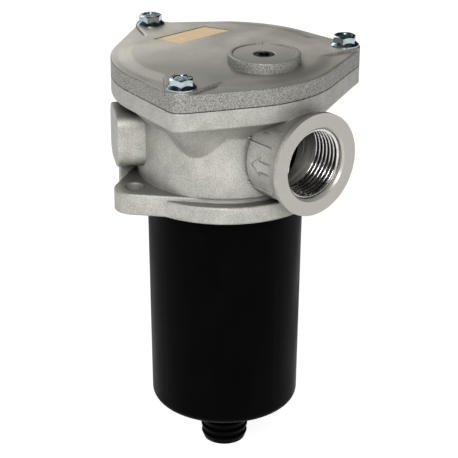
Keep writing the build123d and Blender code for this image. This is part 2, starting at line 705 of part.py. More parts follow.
# ---- Bypass valve --------------------------------------------------------------------------
def make_valve_seat():
    """Valve seat pressed into the top cap, with a spoked hub that guides the stem."""
    top = ELEMENT_TOP_Z
    ring = revolved(
        (VALVE_PORT_R, SEAT_FACE_Z),
        (VALVE_BODY_R, SEAT_FACE_Z),
        (VALVE_BODY_R, top),
        (VALVE_FLANGE_R, top),
        (VALVE_FLANGE_R, top + VALVE_FLANGE_T),
        (VALVE_PORT_R, top + VALVE_FLANGE_T),
    )
    hub_low = top + VALVE_FLANGE_T - HUB_H
    for turn in (0, 120, 240):
        spoke = Box(
            VALVE_PORT_R + 1, SPOKE_W, HUB_H / 2,
            align=(Align.MIN, Align.CENTER, Align.MAX),
        )
        ring += Rot(0, 0, turn) * Pos(0, 0, top + VALVE_FLANGE_T) * spoke
    ring += rod(HUB_R, hub_low, top + VALVE_FLANGE_T)
    return ring - rod(STEM_R + STEM_CLEARANCE, hub_low, top + VALVE_FLANGE_T)


def make_poppet():
    """Valve disc and stem, closed against the seat from below."""
    disc = revolved(
        (0, SEAT_FACE_Z - POPPET_T),
        (POPPET_R - 0.5, SEAT_FACE_Z - POPPET_T),
        (POPPET_R, SEAT_FACE_Z - POPPET_T + 0.5),
        (POPPET_R, SEAT_FACE_Z),
        (0, SEAT_FACE_Z),
    )
    return disc + rod(STEM_R, SEAT_FACE_Z, STEM_TOP_Z)


def make_valve_retainer():
    """Washer fixed on the stem above the valve spring."""
    top = STEM_TOP_Z - 1.0
    return tube(VALVE_RETAINER_R, STEM_R, top - VALVE_RETAINER_T, top)


def make_valve_spring():
    """Spring that holds the poppet shut."""
    low = ELEMENT_TOP_Z + VALVE_FLANGE_T
    high = STEM_TOP_Z - 1.0 - VALVE_RETAINER_T
    return spring(VALVE_SPRING_R, VALVE_SPRING_WIRE_R, VALVE_SPRING_TURNS, low, high)


def make_hold_spring():
    """Spring that holds the element down on the bowl's nipple."""
    return spring(
        HOLD_SPRING_R, HOLD_SPRING_WIRE_R, HOLD_SPRING_TURNS, ELEMENT_TOP_Z, COVER_CEILING_Z
    )


# ---- Write every piece ---------------------------------------------------------------------
def all_pieces():
    """Every piece of the filter, by name."""
    pieces = {
        "head": make_head(),
        "cover": make_cover(),
        "cover_seal": make_cover_seal(),
        "label": make_label(),
        "indicator_plug": make_plug(),
        "bowl": make_bowl(),
        "hose_connector": make_hose_connector(),
        "bowl_seal": make_bowl_seal(),
        "bowl_retainer": make_bowl_retainer(),
        "element_pleats": make_pleats(),
        "element_core": make_core(),
        "element_bottom_cap": make_bottom_cap(),
        "element_top_cap": make_top_cap(),
        "element_seal": make_element_seal(),
        "bypass_seat": make_valve_seat(),
        "bypass_poppet": make_poppet(),
        "bypass_retainer": make_valve_retainer(),
        "bypass_spring": make_valve_spring(),
        "hold_down_spring": make_hold_spring(),
    }
    for number, (angle, turn) in enumerate(zip(SCREW_ANGLES, SCREW_TURNS), start=1):
        pieces[f"cover_screw_{number}"] = make_cover_screw(angle, turn)
    return pieces


os.makedirs("parts", exist_ok=True)
for name, piece in all_pieces().items():
    export_step(piece, f"parts/{name}.step")
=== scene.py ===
"""Visual model of a tank-top return line filter.

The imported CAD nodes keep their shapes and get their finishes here: grit-blasted and sand-cast
aluminium, a turned inlet face, zinc plated screws, a moulded bowl and a bare label.  Small pieces
that the solids leave out are added: the inlet's screw thread, the flow arrow, casting flash and
the mould marks of the bowl.
"""

from __future__ import annotations

import json
import logging
import math
from dataclasses import dataclass
from enum import Enum
from typing import Sequence

import bmesh
import bpy
from mathutils import Matrix, Vector

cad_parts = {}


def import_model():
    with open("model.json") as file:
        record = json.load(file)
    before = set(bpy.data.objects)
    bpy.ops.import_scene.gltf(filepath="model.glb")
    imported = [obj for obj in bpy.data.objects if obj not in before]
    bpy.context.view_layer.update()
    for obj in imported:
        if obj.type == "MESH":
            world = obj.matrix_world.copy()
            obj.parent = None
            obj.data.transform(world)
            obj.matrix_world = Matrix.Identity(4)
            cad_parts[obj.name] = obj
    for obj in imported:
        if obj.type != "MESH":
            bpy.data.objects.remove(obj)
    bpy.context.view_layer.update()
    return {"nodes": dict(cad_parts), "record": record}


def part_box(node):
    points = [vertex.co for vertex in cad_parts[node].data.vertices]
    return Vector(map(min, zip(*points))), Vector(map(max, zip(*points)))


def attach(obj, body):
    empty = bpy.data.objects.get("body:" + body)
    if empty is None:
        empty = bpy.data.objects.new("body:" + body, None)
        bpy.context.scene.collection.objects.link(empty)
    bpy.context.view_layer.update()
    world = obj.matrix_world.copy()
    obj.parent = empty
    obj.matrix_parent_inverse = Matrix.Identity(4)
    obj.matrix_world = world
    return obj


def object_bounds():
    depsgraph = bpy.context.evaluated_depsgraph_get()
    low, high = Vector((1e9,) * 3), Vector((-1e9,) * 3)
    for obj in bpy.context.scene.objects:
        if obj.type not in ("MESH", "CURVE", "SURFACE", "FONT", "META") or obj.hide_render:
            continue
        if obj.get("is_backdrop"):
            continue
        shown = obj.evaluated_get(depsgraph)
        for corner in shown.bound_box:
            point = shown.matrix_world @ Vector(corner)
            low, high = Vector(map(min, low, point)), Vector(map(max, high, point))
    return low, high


LOG = logging.getLogger("return_line_filter")
MM = 0.001
BODY = "housing"

Colour = tuple[float, float, float]
Socket = bpy.types.NodeSocket

# Near-white colour of painted glints on grit-blasted metal.
PAINTED_GLINT: Colour = (0.86, 0.85, 0.83)
JOINT_DARK: Colour = (0.012, 0.011, 0.010)
# Colour of the painted shade in hollows and inner corners.
PAINTED_SHADE_DARK: Colour = (0.006, 0.006, 0.005)


class Slot(Enum):
    """Material slots of the record."""

    HEAD = "head_casting"
    COVER = "cover_casting"
    BOWL = "bowl_moulding"
    SCREW = "plated_screw"
    DARK_STEEL = "dark_steel"
    SPRING = "spring_steel"
    LABEL = "label_film"
    SEAL = "seal_rubber"
    MEDIUM = "filter_medium"
    TINNED = "tinned_steel"
    VALVE_MOULDING = "valve_moulding"
    VALVE_METAL = "valve_metal"


# ---- Node trees ------------------------------------------------------------------------------
class Finish:
    """A material's node tree, built from its principled shader backwards."""

    def __init__(self, name: str, metallic: float, roughness: float) -> None:
        """Start a material.

        Args:
            name: Name of the material.
            metallic: Constant metallic value of the shader.
            roughness: Constant roughness, used until a socket is linked to it.
        """
        self.material = bpy.data.materials.new(name)
        self.material.use_nodes = True
        self.tree = self.material.node_tree
        self.shader = self.tree.nodes["Principled BSDF"]
        self.shader.inputs["Metallic"].default_value = metallic
        self.shader.inputs["Roughness"].default_value = roughness
        self.position = self.add("ShaderNodeTexCoord").outputs["Object"]
        axes = self.add("ShaderNodeSeparateXYZ")
        self.link(self.position, axes.inputs[0])
        self.x, self.y, self.z = axes.outputs

    def add(self, kind: str, **settings: object) -> bpy.types.Node:
        """Add a node and set its properties.

        Args:
            kind: Type name of the node.
            **settings: Properties of the node by name.

        Returns:
            The new node.
        """
        node = self.tree.nodes.new(kind)
        for name, value in settings.items():
            setattr(node, name, value)
        return node

    def link(self, source: Socket, target: Socket) -> None:
        """Link two sockets."""
        self.tree.links.new(source, target)

    def feed(self, socket: Socket, value: Socket | float | Colour) -> None:
        """Link a socket to another, or set its value.

        Args:
            socket: Input to feed.
            value: Socket, number or colour.
        """
        if isinstance(value, bpy.types.NodeSocket):
            self.link(value, socket)
        elif isinstance(value, tuple):
            socket.default_value = (*value, 1.0)
        else:
            socket.default_value = value

    def maths(self, operation: str, *values: Socket | float) -> Socket:
        """One maths node.

        Args:
            operation: Name of the operation.
            *values: Its one to three operands.

        Returns:
            The result.
        """
        node = self.add("ShaderNodeMath", operation=operation)
        for socket, value in zip(node.inputs, values):
            self.feed(socket, value)
        return node.outputs[0]

    def share(self, mask: Socket, share: float) -> Socket:
        """Scale a mask or a number by a share."""
        return self.maths("MULTIPLY", mask, share)

    def weighted(self, *terms: tuple[Socket, float]) -> Socket:
        """Add up sockets by their weights.

        Args:
            *terms: Pairs of a socket and its weight.

        Returns:
            The sum.
        """
        total, *rest = [self.share(socket, weight) for socket, weight in terms]
        for term in rest:
            total = self.maths("ADD", total, term)
        return total

    def ramp(self, value: Socket, low: float, high: float, smooth: bool = True) -> Socket:
        """Map a range to 0 to 1 and clamp it.

        Args:
            value: Socket to map.
            low: Value that becomes 0.
            high: Value that becomes 1.
            smooth: Ease in and out.

        Returns:
            The mapped value.
        """
        kind = "SMOOTHSTEP" if smooth else "LINEAR"
        node = self.add("ShaderNodeMapRange", interpolation_type=kind)
        self.feed(node.inputs["Value"], value)
        node.inputs["From Min"].default_value = low
        node.inputs["From Max"].default_value = high
        return node.outputs["Result"]

    def noise(self, size: float, detail: float = 3.0, stretch: Sequence[float] = (1, 1, 1)) -> Socket:
        """Noise of a grain size, centred on 0.5.

        Args:
            size: Grain size in metres.
            detail: Octaves of finer grain.
            stretch: Factors on the three axes, below 1 to draw the grain out.

        Returns:
            The noise factor.
        """
        place = self.add("ShaderNodeMapping")
        place.inputs["Scale"].default_value = stretch
        self.link(self.position, place.inputs["Vector"])
        node = self.add("ShaderNodeTexNoise")
        node.inputs["Scale"].default_value = 1.0 / size
        node.inputs["Detail"].default_value = detail
        self.link(place.outputs[0], node.inputs["Vector"])
        return node.outputs["Fac"]

    def mix(self, factor: Socket | float, first: Socket | Colour, second: Socket | Colour) -> Socket:
        """Mix two colours.

        Args:
            factor: Share of the second colour.
            first: Colour at 0.
            second: Colour at 1.

        Returns:
            The mixed colour.
        """
        node = self.add("ShaderNodeMix", data_type="RGBA")
        self.feed(node.inputs[0], factor)
        self.feed(node.inputs[6], first)
        self.feed(node.inputs[7], second)
        return node.outputs[2]

    def blend(self, factor: Socket, first: Socket | float, second: Socket | float) -> Socket:
        """Mix two numbers."""
        node = self.add("ShaderNodeMix", data_type="FLOAT")
        self.feed(node.inputs[0], factor)
        self.feed(node.inputs[2], first)
        self.feed(node.inputs[3], second)
        return node.outputs[0]

    def upward(self, low: float = 0.55, high: float = 0.85) -> Socket:
        """Mask of faces that look up.

        Args:
            low: Upward share of the normal where the mask starts.
            high: Upward share of the normal where it is full.

        Returns:
            The mask.
        """
        geometry = self.add("ShaderNodeNewGeometry")
        axes = self.add("ShaderNodeSeparateXYZ")
        self.link(geometry.outputs["Normal"], axes.inputs[0])
        return self.ramp(axes.outputs[2], low, high)

    def bump(
        self,
        height: Socket,
        depth: float,
        strength: float,
        below: Socket | None = None,
    ) -> Socket:
        """Bump from a height.

        Args:
            height: Height from 0 to 1.
            depth: Real depth in metres of the full height.
            strength: Strength from 0 to 1.
            below: Normal of a bump beneath this one.

        Returns:
            The bent normal.
        """
        node = self.add("ShaderNodeBump")
        node.inputs["Strength"].default_value = strength
        node.inputs["Distance"].default_value = depth
        self.feed(node.inputs["Height"], height)
        if below is not None:
            self.link(below, node.inputs["Normal"])
        return node.outputs["Normal"]

    def soft_edges(self, radius: float) -> Socket:
        """Normal of the surface with its edges and inner corners rounded.

        Args:
            radius: Radius of the rounding in metres.

        Returns:
            The rounded normal.
        """
        node = self.add("ShaderNodeBevel", samples=6)
        node.inputs["Radius"].default_value = radius
        return node.outputs[0]

    def painted_crevice_shade(self, reach: float, depth: float) -> Socket:
        """Painted shade: darkening factor of hollows and inner corners, from ambient occlusion.

        Args:
            reach: How far the walls of a hollow may be, in metres.
            depth: Share of the light that the deepest hollow loses.

        Returns:
            Share of the light that is left.
        """
        node = self.add("ShaderNodeAmbientOcclusion", samples=8)
        node.inputs["Distance"].default_value = reach
        open_share = self.ramp(node.outputs["AO"], 0.05, 0.85, smooth=False)
        return self.maths("MULTIPLY_ADD", open_share, depth, 1.0 - depth)

    def darken(self, colour: Socket, share: Socket) -> Socket:
        """Darken a colour towards the painted shade colour, keeping a share of it."""
        return self.mix(share, PAINTED_SHADE_DARK, colour)

    def near(self, value: Socket, middle: float, half_width: float) -> Socket:
        """Mask of a narrow band about a value, fading over the outer two fifths of its width."""
        distance = self.maths("ABSOLUTE", self.maths("SUBTRACT", value, middle))
        return self.maths("SUBTRACT", 1.0, self.ramp(distance, half_width * 0.6, half_width))

    def joint_line(self, colour: Socket, joint_z: float) -> Socket:
        """Draw the dark, broken line where the cover meets the head.

        Args:
            colour: Colour of the surface.
            joint_z: Height of the joint.

        Returns:
            The colour with the line on it.
        """
        broken = self.ramp(self.noise(2 * MM), 0.25, 0.45)
        line = self.maths("MULTIPLY", self.near(self.z, joint_z, 0.30 * MM), broken)
        return self.mix(self.share(line, 0.92), colour, JOINT_DARK)

    def finish(
        self,
        colour: Socket | Colour,
        roughness: Socket | None,
        normal: Socket | None,
    ) -> bpy.types.Material:
        """Link the shader's main sockets.

        Args:
            colour: Base colour.
            roughness: Roughness, or None to keep the constant.
            normal: Normal, or None for the plain surface.

        Returns:
            The finished material.
        """
        self.feed(self.shader.inputs["Base Color"], colour)
        if roughness is not None:
            self.link(roughness, self.shader.inputs["Roughness"])
        if normal is not None:
            self.link(normal, self.shader.inputs["Normal"])
        return self.material


# ---- Finishes --------------------------------------------------------------------------------
@dataclass(frozen=True)
class PortPlace:
    """Where the inlet is, in metres."""

    face_x: float
    axis_z: float
    thread_r: float


@dataclass(frozen=True)
class HeadFinish:
    """Grit-blasted casting with a turned inlet face, with painted shade on its upward faces and in
    its hollows.
    """

    port: PortPlace
    joint_z: float
    light: Colour = (0.70, 0.685, 0.63)
    dark: Colour = (0.42, 0.41, 0.37)
    # Colour of the painted shade on faces that look up.
    shade: Colour = (0.20, 0.19, 0.165)
    turned: Colour = (0.60, 0.575, 0.53)
    turned_dull: Colour = (0.54, 0.515, 0.465)
    metallic: float = 0.42
    roughness: float = 0.52
    turned_roughness: float = 0.30
    grain: float = 0.55 * MM
    patch: float = 9 * MM
    painted_shade_reach: float = 24 * MM
    painted_shade_depth: float = 0.85
    cast_edge: float = 1.6 * MM
    turned_length: float = 22 * MM
    tool_pitch: float = 0.35 * MM

    def build(self) -> bpy.types.Material:
        """Build the material.

        Returns:
            The material of the head.
        """
        f = Finish("grit_blasted_head", self.metallic, self.roughness)
        grain = f.noise(self.grain, 2.0)
        patch = f.noise(self.patch, 4.0)
        glint_speck = f.ramp(f.noise(0.42 * MM, 1.0), 0.62, 0.72)
        tone = f.weighted((grain, 0.75), (patch, 0.5))
        colour = f.mix(f.ramp(tone, 0.40, 0.86), self.dark, self.light)
        # Painted glints: scattered tiny specks are lightened towards near-white.
        colour = f.mix(f.share(glint_speck, 0.35), colour, PAINTED_GLINT)
        # Painted shade: faces that look up are darkened, as if shaded by the cover above them.
        colour = f.mix(f.share(f.upward(), 0.72), colour, self.shade)
        colour = f.joint_line(colour, self.joint_z)
        face, ring = self.turned_masks(f)
        lathe = f.noise(0.25 * MM, 2.0)
        bright = f.mix(f.share(f.noise(6 * MM, 2.0), 0.6), self.turned, self.turned_dull)
        colour = f.mix(face, colour, bright)
        blasted_rough = f.blend(patch, 0.45, 0.62)
        rough = f.blend(face, blasted_rough, f.blend(lathe, self.turned_roughness, 0.42))
        # Painted shade: hollows and inner corners of the head are darkened.
        colour = f.darken(colour, f.painted_crevice_shade(self.painted_shade_reach, self.painted_shade_depth))
        blasted = f.bump(grain, 0.10 * MM, 0.55, f.soft_edges(self.cast_edge))
        blasted = f.bump(patch, 0.35 * MM, 0.25, blasted)
        lines = f.bump(ring, 0.01 * MM, 0.12)
        chosen = f.add("ShaderNodeMix", data_type="VECTOR")
        f.link(face, chosen.inputs[0])
        f.link(blasted, chosen.inputs[4])
        f.link(lines, chosen.inputs[5])
        return f.finish(colour, rough, chosen.outputs[1])

    def turned_masks(self, f: Finish) -> tuple[Socket, Socket]:
        """Masks of the turned inlet.

        Args:
            f: Finish that is being built.

        Returns:
            The mask of the turned surfaces and the lathe lines on them.
        """
        away = f.maths("SUBTRACT", f.z, self.port.axis_z)
        squared = f.maths("ADD", f.maths("MULTIPLY", f.y, f.y), f.maths("MULTIPLY", away, away))
        radius = f.maths("SQRT", squared)
        front = f.maths("GREATER_THAN", f.x, self.port.face_x - 0.12 * MM)
        bore = f.maths("LESS_THAN", radius, self.port.thread_r + 1.0 * MM)
        outside = f.maths("GREATER_THAN", f.x, self.port.face_x - self.turned_length)
        inside = f.maths("MULTIPLY", bore, outside)
        mask = f.maths("MAXIMUM", front, inside)
        wave = f.add("ShaderNodeMath", operation="SINE")
        f.feed(wave.inputs[0], f.share(radius, math.tau / self.tool_pitch))
        return mask, f.maths("MULTIPLY_ADD", wave.outputs[0], 0.5, 0.5)


@dataclass(frozen=True)
class CoverFinish:
    """Sand-cast cover: browner and smoother on top, painted shade darkening the top towards one side,
    grainy round its edge.
    """

    joint_z: float
    top_light: Colour = (0.60, 0.575, 0.505)
    top_dark: Colour = (0.42, 0.40, 0.345)
    # Colour of the painted shade that darkens the top towards one side.
    stain_and_painted_shade: Colour = (0.115, 0.108, 0.092)
    side_light: Colour = (0.50, 0.49, 0.45)
    side_dark: Colour = (0.22, 0.213, 0.19)
    painted_glint: Colour = (0.88, 0.87, 0.85)
    metallic: float = 0.40
    grain: float = 0.6 * MM
    cloud: float = 17 * MM
    smear: float = 26 * MM
    painted_shade_towards: tuple[float, float] = (0.76, -0.65)
    painted_shade_start: float = -8 * MM
    painted_shade_full: float = 36 * MM
    painted_shade_waver: float = 30 * MM

    def build(self) -> bpy.types.Material:
        """Build the material.

        Returns:
            The material of the cover.
        """
        f = Finish("cast_cover", self.metallic, 0.5)
        grain = f.noise(self.grain, 2.0)
        cloud = f.noise(self.cloud, 5.0)
        smear = f.noise(self.smear, 3.0, (1.0, 0.35, 1.0))
        tone = f.weighted((cloud, 0.9), (smear, 0.7), (grain, 0.35))
        top = f.mix(f.ramp(tone, 0.72, 1.20), self.top_dark, self.top_light)
        waver = f.maths("SUBTRACT", cloud, 0.5)
        # Painted shade: the top is darkened towards the side that faces the camera, with a wavering
        # edge.
        along_x, along_y = self.painted_shade_towards
        front = f.weighted((f.x, along_x), (f.y, along_y), (waver, self.painted_shade_waver))
        painted_shade_share = f.ramp(front, self.painted_shade_start, self.painted_shade_full)
        top = f.mix(f.share(painted_shade_share, 0.62), top, self.stain_and_painted_shade)
        glint_speck = f.ramp(f.noise(0.5 * MM, 1.0), 0.60, 0.72)
        side = f.mix(f.ramp(grain, 0.34, 0.68), self.side_dark, self.side_light)
        # Painted glints: scattered tiny specks on the sides are lightened towards near-white.
        side = f.mix(f.share(glint_speck, 0.5), side, self.painted_glint)
        up = f.upward(0.60, 0.92)
        colour = f.mix(up, side, top)
        colour = f.joint_line(colour, self.joint_z)
        rough = f.blend(up, f.blend(grain, 0.42, 0.60), f.blend(cloud, 0.40, 0.58))
        # Painted shade: hollows and inner corners of the cover are darkened.
        colour = f.darken(colour, f.painted_crevice_shade(8 * MM, 0.55))
        normal = f.bump(grain, 0.12 * MM, 0.5, f.soft_edges(0.8 * MM))
        normal = f.bump(f.noise(5 * MM, 3.0), 0.22 * MM, 0.30, normal)
        return f.finish(colour, rough, normal)


@dataclass(frozen=True)
class MetalFinish:
    """Plain metal with faint mottling, such as plating, blackened steel or turned metal."""

    name: str
    light: Colour
    dark: Colour
    roughness: float
    mottle: float = 2.5 * MM
    # Share of the light that the painted shade takes from the deepest hollow.
    crevice_shade_depth: float = 0.7
    metallic: float = 1.0

    def build(self) -> bpy.types.Material:
        """Build the material.

        Returns:
            The material of a small metal piece.
        """
        f = Finish(self.name, self.metallic, self.roughness)
        mottle = f.noise(self.mottle, 3.0)
        fine = f.noise(0.3 * MM, 2.0)
        colour = f.mix(f.ramp(mottle, 0.35, 0.65), self.dark, self.light)
        # Painted shade: hollows and inner corners of the piece are darkened.
        colour = f.darken(colour, f.painted_crevice_shade(3 * MM, self.crevice_shade_depth))
        rough = f.blend(f.ramp(mottle, 0.3, 0.7), self.roughness * 0.8, self.roughness * 1.3)
        return f.finish(colour, rough, f.bump(fine, 0.02 * MM, 0.25))


@dataclass(frozen=True)
class MouldingFinish:
    """Black moulded plastic, semi-matt, with faint flow marks and two mould seams."""

    name: str = "black_moulding"
    light: Colour = (0.0022, 0.0022, 0.0021)
    dark: Colour = (0.0011, 0.0011, 0.0011)
    roughness: float = 0.40
    specular: float = 0.02

    def build(self) -> bpy.types.Material:
        """Build the material.

        Returns:
            The material of the bowl.
        """
        f = Finish(self.name, 0.0, self.roughness)
        f.shader.inputs["Specular IOR Level"].default_value = self.specular
        cloud = f.noise(14 * MM, 4.0, (1.0, 1.0, 0.45))
        fine = f.noise(0.45 * MM, 2.0)
        colour = f.mix(f.ramp(cloud, 0.35, 0.68), self.dark, self.light)
        rough = f.blend(f.ramp(cloud, 0.3, 0.7), self.roughness * 0.9, self.roughness * 1.2)
        normal = f.bump(fine, 0.02 * MM, 0.2)
        normal = f.bump(f.near(f.x, 0.0, 0.35 * MM), 0.12 * MM, 0.5, normal)
        return f.finish(colour, rough, normal)


@dataclass(frozen=True)
class LabelFinish:
    """Bare coated paper label, discoloured at one end."""

    low: Vector
    light: Colour = (0.96, 0.75, 0.46)
    dark: Colour = (0.90, 0.66, 0.36)
    # Colour of the label's real discolouring at one end.
    stain_and_painted_shade: Colour = (0.66, 0.40, 0.05)

    def build(self) -> bpy.types.Material:
        """Build the material.

        Returns:
            The material of the label.
        """
        f = Finish("label_paper", 0.0, 0.55)
        fibre = f.noise(1.6 * MM, 4.0, (1.0, 0.4, 1.0))
        colour = f.mix(f.ramp(fibre, 0.35, 0.65), self.dark, self.light)
        end = f.maths("SUBTRACT", 1.0, f.ramp(f.y, self.low.y, self.low.y + 6 * MM))
        side = f.maths("SUBTRACT", 1.0, f.ramp(f.x, self.low.x, self.low.x + 9 * MM))
        colour = f.mix(f.maths("MULTIPLY", end, side), colour, self.stain_and_painted_shade)
        return f.finish(colour, None, f.bump(fibre, 0.04 * MM, 0.3))


@dataclass(frozen=True)
class SoftFinish:
    """Plain matt material with a grain, such as rubber, felt or moulded nylon."""

    name: str
    light: Colour
    dark: Colour
    roughness: float
    grain: float

    def build(self) -> bpy.types.Material:
        """Build the material.

        Returns:
            The material of an inner piece.
        """
        f = Finish(self.name, 0.0, self.roughness)
        grain = f.noise(self.grain, 3.0)
        colour = f.mix(f.ramp(grain, 0.35, 0.65), self.dark, self.light)
        return f.finish(colour, None, f.bump(grain, 0.05 * MM, 0.3))


# ---- Pieces ----------------------------------------------------------------------------------
def edges_round(verts: Sequence[bmesh.types.BMVert]) -> list[bmesh.types.BMEdge]:
    """Edges that touch some vertices, each once and in a fixed order."""
    return list(dict.fromkeys(edge for vert in verts for edge in vert.link_edges))


def fix_order(shape: bmesh.types.BMesh) -> None:
    """Put the vertices and faces in an order that is the same each run.

    Each face is made anew from its first vertex, because its own start can differ too.

    Args:
        shape: Mesh with no two vertices in one place.
    """
    for rank, vert in enumerate(sorted(shape.verts, key=lambda vert: vert.co.to_tuple())):
        vert.index = rank
    shape.verts.sort()
    rings = []
    for face in shape.faces:
        ring = list(face.verts)
        first = min(range(len(ring)), key=lambda place: ring[place].index)
        rings.append(ring[first:] + ring[:first])
    bmesh.ops.delete(shape, geom=list(shape.faces), context="FACES_ONLY")
    for ring in sorted(rings, key=lambda ring: [vert.index for vert in ring]):
        shape.faces.new(ring)


def new_piece(
    name: str,
    shape: bmesh.types.BMesh,
    material: bpy.types.Material,
) -> bpy.types.Object:
    """Turn a finished mesh into a piece that rides on the housing.

    Args:
        name: Name of the piece.
        shape: Its mesh in the row frame, freed here.
        material: Its material.

    Returns:
        The piece.
    """
    bmesh.ops.remove_doubles(shape, verts=shape.verts, dist=1e-7)
    bmesh.ops.recalc_face_normals(shape, faces=shape.faces)
    fix_order(shape)
    for face in shape.faces:
        face.smooth = True
    mesh = bpy.data.meshes.new(name)
    shape.to_mesh(mesh)
    shape.free()
    piece = bpy.data.objects.new(name, mesh)
    bpy.context.scene.collection.objects.link(piece)
    mesh.materials.append(material)
    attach(piece, BODY)
    LOG.info("piece %s: %d faces", name, len(mesh.polygons))
    return piece


def add_bar(
    shape: bmesh.types.BMesh,
    start: Vector,
    end: Vector,
    up: Vector,
    width: float,
    height: float,
) -> None:
    """Add a low bar with softened edges between two points.

    Args:
        shape: Mesh to add to.
        start: Middle of the bar's one end.
        end: Middle of its other end.
        up: Outward direction of the surface under it.
        width: Width of the bar.
        height: Whole height of the bar, half of it below the surface.
    """
    along = end - start
    side = up.cross(along).normalized()
    turn = Matrix((along.normalized(), side, along.cross(side).normalized())).transposed().to_4x4()
    size = Matrix.Diagonal((along.length + width, width, height, 1.0))
    place = Matrix.Translation((start + end) / 2) @ turn @ size
    made = bmesh.ops.create_cube(shape, size=1.0, matrix=place)
    bmesh.ops.bevel(
        shape,
        geom=edges_round(made["verts"]),
        offset=min(width, height) * 0.3,
        segments=2,
        profile=0.5,
        affect="EDGES",
        material=-1,
    )


@dataclass
class InletDetails:
    """Thread, flow arrow and casting flash of the inlet boss.

    The thread's lead-in and run-out are shares of a turn.  A flash ridge is given by where it
    starts and ends along the inlet and its turn round the boss, and a blob by its place, turn and
    radius, in millimetres and degrees.
    """

    port: PortPlace
    boss_r: float = 21.4 * MM
    pitch: float = 2.309 * MM
    thread_minor_r: float = 15.15 * MM
    thread_length: float = 19.1 * MM
    chamfer: float = 0.9 * MM
    steps_per_turn: int = 96
    lead_in: float = 0.15
    run_out: float = 0.75
    arrow_tail_x: float = 55.6 * MM
    arrow_neck_x: float = 48.7 * MM
    arrow_tip_x: float = 43.6 * MM
    arrow_half_shaft: float = 2.6 * MM
    arrow_half_head: float = 4.5 * MM
    stroke: float = 0.42 * MM
    ridge_width: float = 0.5 * MM
    ridge_height: float = 0.9 * MM
    ridges: tuple[tuple[float, float, float], ...] = ((50.6, 56.4, 131.5), (46.0, 49.0, 139.0))
    blobs: tuple[tuple[float, float, float], ...] = (
        (39.6, 133.0, 1.3),
        (38.2, 150.0, 1.0),
        (37.6, 212.5, 1.1),
    )

    def thread(self, material: bpy.types.Material) -> bpy.types.Object:
        """Build the screw thread by turning its ridge along a helix.

        Args:
            material: Material of the turned metal.

        Returns:
            The thread piece.
        """
        shape = bmesh.new()
        turns = math.floor(self.thread_length / self.pitch) - self.run_out
        inner_end = self.port.face_x - self.chamfer - self.thread_length
        start = inner_end + self.lead_in * self.pitch
        root = self.port.thread_r + 0.05 * MM
        crest = self.thread_minor_r
        profile = (
            (0.02, root),
            (0.38, crest + 0.16 * MM),
            (0.43, crest + 0.03 * MM),
            (0.50, crest),
            (0.57, crest + 0.03 * MM),
            (0.62, crest + 0.16 * MM),
            (0.98, root),
        )
        corners = [
            shape.verts.new((start + share * self.pitch, 0.0, self.port.axis_z + radius))
            for share, radius in profile
        ]
        loop = list(zip(corners, corners[1:] + corners[:1]))
        edges = [shape.edges.new(pair) for pair in loop]
        steps = int(turns * self.steps_per_turn)
        bmesh.ops.spin(
            shape,
            geom=corners + edges,
            cent=(start, 0.0, self.port.axis_z),
            axis=(1.0, 0.0, 0.0),
            dvec=(self.pitch / self.steps_per_turn, 0.0, 0.0),
            angle=math.tau * turns,
            steps=steps,
            use_duplicate=False,
        )
        bmesh.ops.holes_fill(shape, edges=[e for e in shape.edges if e.is_boundary], sides=0)
        return new_piece("inlet_thread", shape, material)

    def on_boss(self, x: float, offset: float) -> tuple[Vector, Vector]:
        """Place a point on the boss's outside.

        Args:
            x: Place along the inlet.
            offset: Distance up round the boss from its middle height.

        Returns:
            The point and the outward direction there.
        """
        out = self.outward(math.pi - offset / self.boss_r)
        return Vector((x, 0.0, self.port.axis_z)) + out * self.boss_r, out

    @staticmethod
    def outward(turn: float) -> Vector:
        """Direction away from the inlet's axis, at a turn in radians from +Y."""
        return Vector((0.0, math.cos(turn), math.sin(turn)))

    def arrow(self, material: bpy.types.Material) -> bpy.types.Object:
        """Build the raised outline of the flow arrow, pointing into the head.

        Args:
            material: Material of the head.

        Returns:
            The arrow piece.
        """
        shape = bmesh.new()
        half = (
            (self.arrow_tail_x, self.arrow_half_shaft),
            (self.arrow_neck_x, self.arrow_half_shaft),
            (self.arrow_neck_x, self.arrow_half_head),
            (self.arrow_tip_x, 0.0),
        )
        outline = [*half, *((x, -offset) for x, offset in reversed(half[:-1]))]
        for (x0, up0), (x1, up1) in zip(outline, outline[1:] + outline[:1]):
            start, out0 = self.on_boss(x0, up0)
            end, out1 = self.on_boss(x1, up1)
            add_bar(shape, start, end, (out0 + out1) / 2, self.stroke, 2 * self.stroke)
        return new_piece("flow_arrow", shape, material)

    def flash(self, material: bpy.types.Material) -> bpy.types.Object:
        """Build the short flash ridges and blobs left along the boss's mould joint.

        Args:
            material: Material of the head.

        Returns:
            The flash piece.
        """
        shape = bmesh.new()
        for x0, x1, angle in self.ridges:
            out = self.outward(math.radians(angle))
            middle = Vector((0.0, 0.0, self.port.axis_z)) + out * (self.boss_r + 0.05 * MM)
            start = middle + Vector((x0 * MM, 0, 0))
            end = middle + Vector((x1 * MM, 0, 0))
            add_bar(shape, start, end, out, self.ridge_width, self.ridge_height)
        for x, angle, radius in self.blobs:
            out = self.outward(math.radians(angle))
            centre = Vector((x * MM, 0.0, self.port.axis_z)) + out * (self.boss_r - 0.3 * MM)
            place = Matrix.Translation(centre) @ Matrix.Diagonal((1.3, 1.0, 0.8, 1.0))
            bmesh.ops.create_icosphere(shape, subdivisions=3, radius=radius * MM, matrix=place)
        return new_piece("boss_flash", shape, material)


